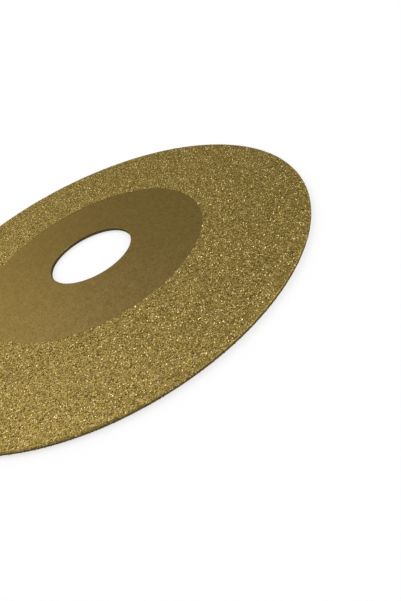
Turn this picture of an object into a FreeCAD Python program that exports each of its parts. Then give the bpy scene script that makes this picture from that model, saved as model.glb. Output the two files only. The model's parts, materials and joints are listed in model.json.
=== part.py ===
import FreeCAD, Part
import os

# A thin flat cutting disc: one steel blank with a plain round bore, coated all over.
# The centre is smooth, for the clamping flanges. Outside it, both faces and the rim
# carry diamond grit, which stands proud of the centre by the thickness of its coat.
# Sizes are in millimetres. The origin is the centre of the bore, half way through
# the thickness, and +Z runs along the bore.

# Driving dimensions
outer_diameter = 100.0     # across the grit on the rim
bore_diameter = 20.0       # fits a 20 mm spindle
centre_diameter = 54.5     # smooth centre, out to the inner edge of the grit
blank_thickness = 0.8      # steel sheet at the smooth centre
coat_thickness = 0.1       # grit coat on each face, and on the rim
coat_edge_width = 0.15     # how far the inner edge of the coat takes to rise
blank_corner_round = 0.3   # outer corners of the steel, under the coat
bore_corner_break = 0.1    # chamfer at both ends of the bore

# Corners aren't rounded or broken past this share of the half thickness
corner_share = 0.9

# Worked out from them
bore_radius = bore_diameter / 2
centre_radius = centre_diameter / 2
rim_radius = outer_diameter / 2
centre_half = blank_thickness / 2
band_half = centre_half + coat_thickness
rim_round = min(blank_corner_round + coat_thickness, corner_share * band_half)
bore_break = min(bore_corner_break, corner_share * centre_half)


def at(radius, height):
    """A point of the section, this far from the axis and above the middle."""
    return FreeCAD.Vector(radius, 0, height)


def straight_edges(points):
    """Straight edges from each point to the next."""
    return [Part.makeLine(start, end) for start, end in zip(points, points[1:])]


def face_line(side):
    """One face from the bore's wall to the rim's corner. Side is 1 above, -1 below."""
    return [
        at(bore_radius, side * (centre_half - bore_break)),
        at(bore_radius + bore_break, side * centre_half),
        at(centre_radius, side * centre_half),
        at(centre_radius + coat_edge_width, side * band_half),
        at(rim_radius - rim_round, side * band_half),
    ]


def rim_corner(side):
    """The quarter round between one face and the rim's wall."""
    middle_r = rim_radius - rim_round
    middle_z = band_half - rim_round
    diagonal = rim_round * 0.5 ** 0.5
    return Part.Arc(
        at(middle_r, side * band_half),
        at(middle_r + diagonal, side * (middle_z + diagonal)),
        at(rim_radius, side * middle_z),
    ).toShape()


def section():
    """Half of the disc's cross-section, as a closed face beside the axis."""
    upper = face_line(1)
    lower = face_line(-1)
    wall_top = at(rim_radius, band_half - rim_round)
    wall_foot = at(rim_radius, rim_round - band_half)
    edges = straight_edges(upper)
    edges += [rim_corner(1), Part.makeLine(wall_top, wall_foot), rim_corner(-1)]
    edges += straight_edges(lower[::-1])
    edges.append(Part.makeLine(lower[0], upper[0]))
    return Part.Face(Part.Wire(edges))


def diamond_disc():
    """The whole disc, turned from its section about the bore's axis."""
    return section().revolve(FreeCAD.Vector(0, 0, 0), FreeCAD.Vector(0, 0, 1), 360)


nodes = {"diamond_disc": diamond_disc()}

os.makedirs("parts", exist_ok=True)
for name, shape in nodes.items():
    shape.exportStep("parts/" + name + ".step")
    box = shape.optimalBoundingBox(False)
    size = [round(length, 3) for length in (box.XLength, box.YLength, box.ZLength)]
    print(name, "solids", len(shape.Solids), "volume", round(shape.Volume, 1), "size", size)
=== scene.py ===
import json
import math
import random

import bpy
from mathutils import Matrix, Vector

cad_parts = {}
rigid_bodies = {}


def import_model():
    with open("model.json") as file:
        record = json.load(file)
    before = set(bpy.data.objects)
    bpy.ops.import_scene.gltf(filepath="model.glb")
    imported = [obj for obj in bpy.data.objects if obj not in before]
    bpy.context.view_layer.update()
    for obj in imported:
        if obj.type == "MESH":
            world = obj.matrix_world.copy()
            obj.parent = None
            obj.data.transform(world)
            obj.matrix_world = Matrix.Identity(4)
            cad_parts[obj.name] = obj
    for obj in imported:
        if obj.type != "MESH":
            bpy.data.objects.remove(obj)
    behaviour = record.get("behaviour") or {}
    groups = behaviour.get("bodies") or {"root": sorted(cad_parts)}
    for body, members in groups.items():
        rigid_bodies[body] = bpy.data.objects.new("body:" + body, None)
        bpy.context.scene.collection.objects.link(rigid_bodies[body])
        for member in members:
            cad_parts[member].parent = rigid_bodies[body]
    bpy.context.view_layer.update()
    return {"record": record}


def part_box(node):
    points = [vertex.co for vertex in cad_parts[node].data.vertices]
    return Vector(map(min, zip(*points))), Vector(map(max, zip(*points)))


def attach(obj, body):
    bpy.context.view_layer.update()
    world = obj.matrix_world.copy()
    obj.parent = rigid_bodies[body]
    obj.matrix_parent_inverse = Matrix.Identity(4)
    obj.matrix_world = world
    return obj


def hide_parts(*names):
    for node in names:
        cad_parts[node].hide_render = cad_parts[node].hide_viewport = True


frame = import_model()
cadLow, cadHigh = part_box("diamond_disc")
mounts = {mount["name"]: mount for mount in frame["record"]["mounts"]}
print("frame loaded, the disc is", round(2000 * cadHigh.x, 1), "mm across")


# small helpers

onEdge = 1e-5      # metres, within which a point counts as on an edge
samePoint = 1e-6   # metres, within which two points are one


def deselectAll():
    if bpy.context.mode != "OBJECT":
        bpy.ops.object.mode_set(mode="OBJECT")
    bpy.ops.object.select_all(action="DESELECT")


def activate(piece):
    deselectAll()
    piece.select_set(True)
    bpy.context.view_layer.objects.active = piece


def pickFaces(piece, wanted):
    # selects the faces whose centre passes the test, and goes into edit mode
    activate(piece)
    for item in [*piece.data.vertices, *piece.data.edges]:
        item.select = False
    for face in piece.data.polygons:
        face.select = wanted(face.center)
    bpy.ops.object.mode_set(mode="EDIT")
    bpy.ops.mesh.select_mode(type="FACE")


def pickEdges(piece, wanted):
    # selects the edges whose two ends pass the test, and goes into edit mode
    activate(piece)
    for item in [*piece.data.polygons, *piece.data.vertices]:
        item.select = False
    for edge in piece.data.edges:
        edge.select = all(wanted(piece.data.vertices[end].co) for end in edge.vertices)
    bpy.ops.object.mode_set(mode="EDIT")
    bpy.ops.mesh.select_mode(type="EDGE")


def addNode(tree, kind, inputs=None, **settings):
    # a new node, with its settings and its inputs set or linked
    node = tree.nodes.new(kind)
    for name, value in settings.items():
        setattr(node, name, value)
    for name, value in (inputs or {}).items():
        if isinstance(value, bpy.types.NodeSocket):
            tree.links.new(value, node.inputs[name])
        else:
            node.inputs[name].default_value = value
    return node


def radiusOf(place):
    return math.hypot(place.x, place.y)


# the bore's wall, which gets painted shade
def onBoreWall(place):
    return radiusOf(place) < blank["boreRadius"] + onEdge


def onBoreEdge(place):
    return onEdge < radiusOf(place) - blank["boreRadius"] < blank["boreBreak"]


def outsideCentre(place):
    return radiusOf(place) > blank["centreRadius"]


# the rim's wall, where the grains and the bond get painted shade
def onRimWall(place):
    return abs(place.z) < blank["wallBand"] and radiusOf(place) > blank["bandRings"][-1]


# the coated blank: one turned piece, with the bond that the grains sit in

blank = {
    "segments": 256,
    "boreRadius": mounts["bore"]["dims"]["r_mm"] / 1000,
    "boreBreak": 0.0001,       # chamfer at the bore's corners
    "centreRadius": 0.02725,   # smooth, out to the first grains
    "centreHalf": mounts["upper_flange_face"]["pos_m"][2],
    "bondRise": 0.00001,       # the bond stands this much above the smooth centre
    "bondEdge": 0.00012,       # width over which it rises
    "rimGrains": 0.00006,      # the grains on the rim stand this much out of the bond
    "rimRound": 0.00030,       # radius of the rim's two corners
    "rimSteps": 5,             # faces across each of them
    "smoothAngle": 30,         # degrees, corners sharper than this stay crisp
    "wallBand": 0.00020,       # the rim's wall gets painted shade this far above and below the middle
    "bandRings": (0.0359, 0.0436),  # where the grit is split into zones
}
bondHalf = blank["centreHalf"] + blank["bondRise"]
bondRadius = cadHigh.x - blank["rimGrains"]


def extrudeRing(radius, newRadius, rise):
    bpy.ops.mesh.extrude_region_move(TRANSFORM_OT_translate={"value": (0, 0, rise)})
    grow = newRadius / radius
    bpy.ops.transform.resize(value=(grow, grow, 1), center_override=(0, 0, 0))


def settleCorners(piece):
    # an extruded face may start at any of its corners, and the scatter follows that order,
    # so each face gets its lowest corner first, and the grains fall alike on every run
    mesh = piece.data
    places = [vertex.co.copy() for vertex in mesh.vertices]
    faces = []
    for face in mesh.polygons:
        corners = list(face.vertices)
        first = corners.index(min(corners))
        faces.append(corners[first:] + corners[:first])
    mesh.clear_geometry()
    mesh.from_pydata(places, [], sorted(faces))


def makeBlank():
    bore, half = blank["boreRadius"], blank["centreHalf"]
    rings = [
        (bore, half - blank["boreBreak"]),
        (bore + blank["boreBreak"], half),
        (blank["centreRadius"], half),
        (blank["centreRadius"] + blank["bondEdge"], bondHalf),
        *((radius, bondHalf) for radius in blank["bandRings"]),
        (bondRadius, bondHalf),
        (bondRadius, 0),
    ]
    deselectAll()
    bpy.ops.mesh.primitive_circle_add(vertices=blank["segments"], radius=bore)
    piece = bpy.context.object
    piece.name = piece.data.name = "coated_blank"
    bpy.ops.object.mode_set(mode="EDIT")
    radius, height = bore, 0
    for newRadius, newHeight in rings:
        extrudeRing(radius, newRadius, newHeight - height)
        radius, height = newRadius, newHeight
    # round the rim's corner
    bpy.ops.object.mode_set(mode="OBJECT")
    pickEdges(piece, lambda place: radiusOf(place) > bondRadius - samePoint and place.z > onEdge)
    bpy.ops.mesh.bevel(offset=blank["rimRound"], segments=blank["rimSteps"], profile=0.5)
    bpy.ops.object.mode_set(mode="OBJECT")
    # the lower half mirrors the upper one
    mirror = piece.modifiers.new("lower half", "MIRROR")
    mirror.use_axis = (False, False, True)
    mirror.merge_threshold = samePoint
    bpy.ops.object.modifier_apply(modifier=mirror.name)
    bpy.ops.object.mode_set(mode="EDIT")
    bpy.ops.mesh.select_all(action="SELECT")
    bpy.ops.mesh.remove_doubles(threshold=samePoint)
    bpy.ops.mesh.normals_make_consistent(inside=False)
    bpy.ops.object.mode_set(mode="OBJECT")
    settleCorners(piece)
    bpy.ops.object.shade_smooth_by_angle(angle=math.radians(blank["smoothAngle"]))
    return piece


# the grit: grains modelled once each, then scattered over the bond zone by zone

grit = {
    "sides": (3, 4, 3),        # of the crystals, each made once in every tone
    "foot": 0.00052,           # across a crystal's foot, corner to corner
    "topShare": 0.62,          # its flat top, as a share of the foot
    "height": 0.00028,
    "widths": (0.9, 1.1),      # least and most stretch of a crystal's foot in one direction,
    "depths": (0.8, 1),        # and across it
    "topFrom": 0.3,            # faces above this share of the height have the top's colour, those below the flanks' painted shade
    "tilt": 30,                # degrees, the most that a grain leans
    "smallest": 0.75,
    "largest": 1.15,
    "rimSize": 0.65,           # size of the grains on the rim's wall beside the others,
    "rimFade": 0.0006,         # reached from this far inside the wall
    "sunk": 0.00007,           # how far the middle of a grain lies under the bond's face
    "uneven": 0.00005,         # how far a corner may move
    "spacing": 0.00030,        # the least distance between two grains
    "density": 40e6,           # grains tried on a square metre, before the spacing
    "seed": 11,
    "tones": {                 # colour of each sort's top, dark gaps to pale tips
        "dark": (0.205, 0.1425, 0.034),
        "deep": (0.315, 0.223, 0.058),
        "gold": (0.440, 0.323, 0.096),
        "pale": (0.560, 0.446, 0.208),
    },
    "flankShade": 0.48,        # painted shade: how bright the flanks are beside the top
    "rimShade": 0.40,          # painted shade: how bright the grains on the rim's wall are beside the others
    "roughness": 0.47,
    "tooth": 9000,             # fineness of the tooth on a crystal,
    "toothBump": (0.3, 0.00002),  # and its strength and depth
    "lowTint": (0.24, 0.27, 0.36),  # how much is left of the shine when seen from low down
}


def makeGrain(name, kind, sides, colour, tone):
    # a small crystal with a flat top, its corners pushed about and its flanks darker with
    # painted shade
    pick = random.Random(grit["seed"] + kind)
    deselectAll()
    foot = grit["foot"] / 2
    bpy.ops.mesh.primitive_cone_add(
        vertices=sides, radius1=foot, radius2=foot * grit["topShare"], depth=grit["height"])
    grain = bpy.context.object
    grain.name = name
    bpy.ops.object.mode_set(mode="EDIT")
    bpy.ops.mesh.select_all(action="SELECT")
    stretch = (pick.uniform(*grit["widths"]), pick.uniform(*grit["depths"]), 1)
    bpy.ops.transform.resize(value=stretch)
    bpy.ops.transform.vertex_random(offset=grit["uneven"], seed=kind + 1, wait_for_input=False)
    bpy.ops.object.mode_set(mode="OBJECT")
    # the flanks get a darker copy of the top's colour, painted shade
    shadedFlankColour = [value * grit["flankShade"] for value in colour]
    grain.data.materials.append(grainGold(tone + " flank", shadedFlankColour))
    assignFinish(grain, grainGold(tone + " top", colour),
                 lambda place: place.z > grit["topFrom"] * grit["height"])
    return grain


def grainCollection(name, shade):
    grains = bpy.data.collections.new(name)
    for tone, colour in grit["tones"].items():
        shaded = [value * shade for value in colour]
        for sides in grit["sides"]:
            grainName = name + " " + str(len(grains.objects))
            grain = makeGrain(grainName, len(grains.objects), sides, shaded, name + " " + tone)
            for holder in list(grain.users_collection):
                holder.objects.unlink(grain)
            grains.objects.link(grain)
    return grains


def scatterTree(grains):
    # points at least the spacing apart, each with a turned grain that sits part sunk
    tree = bpy.data.node_groups.new("scatter grains", "GeometryNodeTree")
    tree.interface.new_socket("Geometry", in_out="INPUT", socket_type="NodeSocketGeometry")
    tree.interface.new_socket("Seed", in_out="INPUT", socket_type="NodeSocketInt")
    tree.interface.new_socket("Geometry", in_out="OUTPUT", socket_type="NodeSocketGeometry")
    given = addNode(tree, "NodeGroupInput")
    spread = addNode(tree, "GeometryNodeDistributePointsOnFaces", {
        "Mesh": given.outputs["Geometry"], "Distance Min": grit["spacing"],
        "Density Max": grit["density"], "Seed": given.outputs["Seed"],
    }, distribute_method="POISSON")
    inward = addNode(tree, "ShaderNodeVectorMath", {
        "Vector": spread.outputs["Normal"], "Scale": -grit["sunk"]}, operation="SCALE")
    sunk = addNode(tree, "GeometryNodeSetPosition", {
        "Geometry": spread.outputs["Points"], "Offset": inward.outputs["Vector"]})
    source = addNode(tree, "GeometryNodeCollectionInfo", {
        "Collection": grains, "Separate Children": True, "Reset Children": True})
    lean = math.radians(grit["tilt"])
    angles = addNode(tree, "FunctionNodeRandomValue", {
        0: (-lean, -lean, 0), 1: (lean, lean, 2 * math.pi), "Seed": 1},
        data_type="FLOAT_VECTOR")
    leaning = addNode(tree, "FunctionNodeEulerToRotation", {0: angles.outputs[0]})
    turn = addNode(tree, "FunctionNodeRotateRotation", {
        0: spread.outputs["Rotation"], 1: leaning.outputs[0]}, rotation_space="LOCAL")
    kind = addNode(tree, "FunctionNodeRandomValue", {
        4: 0, 5: len(grains.objects) - 1, "Seed": 2}, data_type="INT")
    place = addNode(tree, "GeometryNodeInputPosition")
    radius = addNode(tree, "ShaderNodeVectorMath", {0: place.outputs[0]}, operation="LENGTH")
    shrink = addNode(tree, "ShaderNodeMapRange", {
        "Value": radius.outputs["Value"], "From Min": bondRadius - grit["rimFade"],
        "From Max": bondRadius, "To Min": 1, "To Max": grit["rimSize"]})
    mixed = addNode(tree, "FunctionNodeRandomValue", {
        2: grit["smallest"], 3: grit["largest"], "Seed": 3}, data_type="FLOAT")
    size = addNode(tree, "ShaderNodeMath", {
        0: mixed.outputs[1], 1: shrink.outputs[0]}, operation="MULTIPLY")
    placed = addNode(tree, "GeometryNodeInstanceOnPoints", {
        "Points": sunk.outputs["Geometry"], "Instance": source.outputs[0],
        "Pick Instance": True, "Instance Index": kind.outputs[2],
        "Rotation": turn.outputs[0], "Scale": size.outputs[0]})
    real = addNode(tree, "GeometryNodeRealizeInstances", {"Geometry": placed.outputs[0]})
    addNode(tree, "NodeGroupOutput", {"Geometry": real.outputs[0]})
    return tree


def makeZone(name, body, tree, seed, wanted):
    # a copy of the bond, cut down to this zone, which the grains then take the place of
    activate(body)
    bpy.ops.object.duplicate()
    piece = bpy.context.object
    piece.name = piece.data.name = name
    pickFaces(piece, lambda place: not wanted(place))
    bpy.ops.mesh.delete(type="FACE")
    bpy.ops.object.mode_set(mode="OBJECT")
    scatter = piece.modifiers.new("scatter", "NODES")
    scatter.node_group = tree
    seedSocket = next(item for item in tree.interface.items_tree if item.name == "Seed")
    scatter[seedSocket.identifier] = seed
    bpy.ops.object.modifier_apply(modifier=scatter.name)
    return piece


def makeGrit(body):
    bright = grainCollection("grains", 1)
    # the rim's grains are darker copies of the others, painted shade on the rim's wall
    rimShadedGrains = grainCollection("rim grains", grit["rimShade"])
    tree = scatterTree(bright)
    edges = [blank["centreRadius"], *blank["bandRings"], cadHigh.x]
    pieces = []
    for side, sideName in ((1, "upper"), (-1, "lower")):
        for number, ringName in enumerate(("inner", "middle", "outer")):
            def inZone(place, side=side, number=number):
                overWall = side * place.z > blank["wallBand"]
                return overWall and edges[number] < radiusOf(place) < edges[number + 1]
            name = "grit_" + sideName + "_" + ringName
            pieces.append(makeZone(name, body, tree, grit["seed"] + len(pieces), inZone))
    pieces.append(makeZone("grit_rim", body, scatterTree(rimShadedGrains), grit["seed"] + len(pieces),
                           onRimWall))
    for grains in (bright, rimShadedGrains):
        for grain in list(grains.objects):
            bpy.data.objects.remove(grain)
        bpy.data.collections.remove(grains)
    return pieces


# finishes

finish = {
    "lowTint": (0.48, 0.45, 0.40),     # of all but the grains, seen from low down
    "centreColour": (0.170, 0.120, 0.043),
    "centreDark": (0.105, 0.0715, 0.024),
    "centreRoughness": 0.45,
    "centreTooth": 3600,               # fineness of the tooth of the smooth centre,
    "centreClouds": 900,               # and of its clouds
    "cloudShare": 0.35,
    "centreRamp": (0.45, 0.90),        # where the dark tone ends and the full colour starts
    "centreBump": (0.35, 0.00003),     # strength and depth
    "specks": 4000,                    # fineness of the specks on all rough gold
    "speckRamp": (0.42, 0.60),
    "speckBump": (0.8, 0.00006),
    "roughGold": {                     # tone of the specks, full colour, roughness
        "bond under the grit": ((0.125, 0.088, 0.024), (0.31, 0.225, 0.066), 0.55),
        # the rim wall's darker tones are painted shade
        "rim wall": ((0.075, 0.054, 0.018), (0.165, 0.120, 0.043), 0.5),
        "bore edge": ((0.13, 0.092, 0.030), (0.20, 0.142, 0.048), 0.2),
        # the bore wall's darker tones are painted shade
        "bore wall": ((0.050, 0.037, 0.017), (0.085, 0.064, 0.030), 0.4),
    },
}


def newMaterial(name):
    material = bpy.data.materials.new(name)
    material.use_nodes = True
    return material, material.node_tree, material.node_tree.nodes["Principled BSDF"]


def addNoise(tree, scale, detail):
    place = addNode(tree, "ShaderNodeTexCoord").outputs["Object"]
    noise = addNode(tree, "ShaderNodeTexNoise", {
        "Vector": place, "Scale": scale, "Detail": detail})
    return noise.outputs["Fac"]


def addRamp(tree, shader, factor, ramp, dark, colour):
    # from the dark tone to the full colour
    tones = addNode(tree, "ShaderNodeValToRGB", {"Fac": factor})
    for element, position, tone in zip(tones.color_ramp.elements, ramp, (dark, colour)):
        element.position = position
        element.color = (*tone, 1)
    tree.links.new(tones.outputs[0], shader.inputs["Base Color"])


def addBump(tree, shader, height, bump):
    strength, depth = bump
    relief = addNode(tree, "ShaderNodeBump", {
        "Height": height, "Strength": strength, "Distance": depth})
    tree.links.new(relief.outputs[0], shader.inputs["Normal"])


def setMetal(shader, roughness, lowTint):
    shader.inputs["Metallic"].default_value = 1
    shader.inputs["Roughness"].default_value = roughness
    shader.inputs["Specular Tint"].default_value = (*lowTint, 1)


def satinGold():
    # matt blasted gold, a little cloudy, with fine tooth
    material, tree, shader = newMaterial("satin gold coat")
    fine = addNoise(tree, finish["centreTooth"], 2)
    cloud = addNoise(tree, finish["centreClouds"], 3)
    blend = addNode(tree, "ShaderNodeMath", {
        0: cloud, 1: finish["cloudShare"], 2: fine}, operation="MULTIPLY_ADD")
    addRamp(tree, shader, blend.outputs[0], finish["centreRamp"],
            finish["centreDark"], finish["centreColour"])
    addBump(tree, shader, fine, finish["centreBump"])
    setMetal(shader, finish["centreRoughness"], finish["lowTint"])
    return material


def roughGold(name):
    # gold with specks and fine unevenness, for all but the smooth centre and the grains; the rim
    # and bore walls are darker, painted shade
    material, tree, shader = newMaterial(name)
    dark, colour, roughness = finish["roughGold"][name]
    fine = addNoise(tree, finish["specks"], 3)
    addRamp(tree, shader, fine, finish["speckRamp"], dark, colour)
    addBump(tree, shader, fine, finish["speckBump"])
    setMetal(shader, roughness, finish["lowTint"])
    return material


def grainGold(tone, colour):
    # gold coated crystals, one material for each tone of top and flank
    name = "gold " + tone
    if name in bpy.data.materials:
        return bpy.data.materials[name]
    material, tree, shader = newMaterial(name)
    addBump(tree, shader, addNoise(tree, grit["tooth"], 2), grit["toothBump"])
    shader.inputs["Base Color"].default_value = (*colour, 1)
    setMetal(shader, grit["roughness"], grit["lowTint"])
    return material


def assignFinish(piece, material, wanted):
    piece.data.materials.append(material)
    pickFaces(piece, wanted)
    piece.active_material_index = len(piece.data.materials) - 1
    bpy.ops.object.material_slot_assign()
    bpy.ops.object.mode_set(mode="OBJECT")


# studio

studio = {
    "floorColour": (0.97, 0.97, 0.97),
    "floorSize": 6,
    "floorDrop": 0.0001,      # the lowest grains stand this much past the solid's face
    "floorWhite": 0.65,       # how far the floor is seen as plain white, for a faint shadow
    "fill": 0.48,             # world light from all round
    "background": 1,          # the white that the camera and the metal see behind it
    "lamps": {                # strength, width, height above the floor, heading, all degrees
        "key": (1.30, 40, 40, -40),
        "side": (1.75, 60, 30, 115),
    },
}

camera = {
    "place": (0.018457, -0.095107, 0.048351),
    "pitch": -37.733,         # degrees, looking down
    "roll": -24.748,
    "lens": 27.269,
    "sensor": 36,
    "clipStart": 0.001,
}


def seenDirectly(tree):
    # 1 for what the camera sees, also in metal and through glass, and 0 for plain light
    path = addNode(tree, "ShaderNodeLightPath")
    mirrored = addNode(tree, "ShaderNodeMath", {
        0: path.outputs["Is Camera Ray"], 1: path.outputs["Is Glossy Ray"]}, operation="MAXIMUM")
    seen = addNode(tree, "ShaderNodeMath", {
        0: mirrored.outputs[0], 1: path.outputs["Is Transmission Ray"]}, operation="MAXIMUM")
    return seen.outputs[0]


def makeStudio():
    deselectAll()
    bpy.ops.mesh.primitive_plane_add(
        size=studio["floorSize"], location=(0, 0, cadLow.z - studio["floorDrop"]))
    floor = bpy.context.object
    floor.name = "floor"
    material, tree, shader = newMaterial("pale floor")
    shader.inputs["Base Color"].default_value = (*studio["floorColour"], 1)
    shader.inputs["Roughness"].default_value = 1
    shader.inputs["Specular IOR Level"].default_value = 0
    floor.data.materials.append(material)
    share = addNode(tree, "ShaderNodeMapRange", {
        "Value": seenDirectly(tree), "To Min": 0, "To Max": studio["floorWhite"]})
    white = addNode(tree, "ShaderNodeEmission", {
        "Color": (1, 1, 1, 1), "Strength": studio["background"]})
    mixed = addNode(tree, "ShaderNodeMixShader", {
        0: share.outputs[0], 1: shader.outputs[0], 2: white.outputs[0]})
    tree.links.new(mixed.outputs[0], tree.nodes["Material Output"].inputs["Surface"])

    world = bpy.data.worlds.new("studio")
    bpy.context.scene.world = world
    world.use_nodes = True
    tree = world.node_tree
    strength = addNode(tree, "ShaderNodeMapRange", {
        "Value": seenDirectly(tree), "To Min": studio["fill"], "To Max": studio["background"]})
    background = tree.nodes["Background"]
    background.inputs["Color"].default_value = (1, 1, 1, 1)
    tree.links.new(strength.outputs[0], background.inputs["Strength"])

    for name, (strength, width, height, heading) in studio["lamps"].items():
        bpy.ops.object.light_add(type="SUN")
        lamp = bpy.context.object
        lamp.name = name
        lamp.data.energy = strength
        lamp.data.angle = math.radians(width)
        height, heading = math.radians(height), math.radians(heading)
        toLamp = Vector((math.sin(heading) * math.cos(height),
                         math.cos(heading) * math.cos(height), math.sin(height)))
        lamp.rotation_euler = toLamp.to_track_quat("Z", "Y").to_euler()


def makeCamera():
    bpy.ops.object.camera_add()
    eye = bpy.context.object
    eye.name = "camera"
    turn = Matrix.Rotation(math.radians(90 + camera["pitch"]), 4, "X")
    roll = Matrix.Rotation(math.radians(camera["roll"]), 4, "Z")
    eye.matrix_world = Matrix.Translation(camera["place"]) @ turn @ roll
    eye.data.lens = camera["lens"]
    eye.data.sensor_width = camera["sensor"]
    eye.data.clip_start = camera["clipStart"]
    bpy.context.scene.camera = eye


coatedBlank = makeBlank()
print("blank made,", len(coatedBlank.data.polygons), "faces")
gritPieces = makeGrit(coatedBlank)
for piece in gritPieces:
    print(piece.name, len(piece.data.polygons), "faces")

coatedBlank.data.materials.append(satinGold())
# the rim wall and the bore wall finishes carry painted shade
roughPlaces = {
    "bond under the grit": outsideCentre,
    "rim wall": onRimWall,
    "bore edge": onBoreEdge,
    "bore wall": onBoreWall,
}
for name, wanted in roughPlaces.items():
    assignFinish(coatedBlank, roughGold(name), wanted)
for piece in gritPieces:
    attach(piece, "root")
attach(coatedBlank, "root")
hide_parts("diamond_disc")
print("finishes on")

makeStudio()
makeCamera()
bpy.context.scene.view_settings.view_transform = "Standard"
print("studio and camera set")
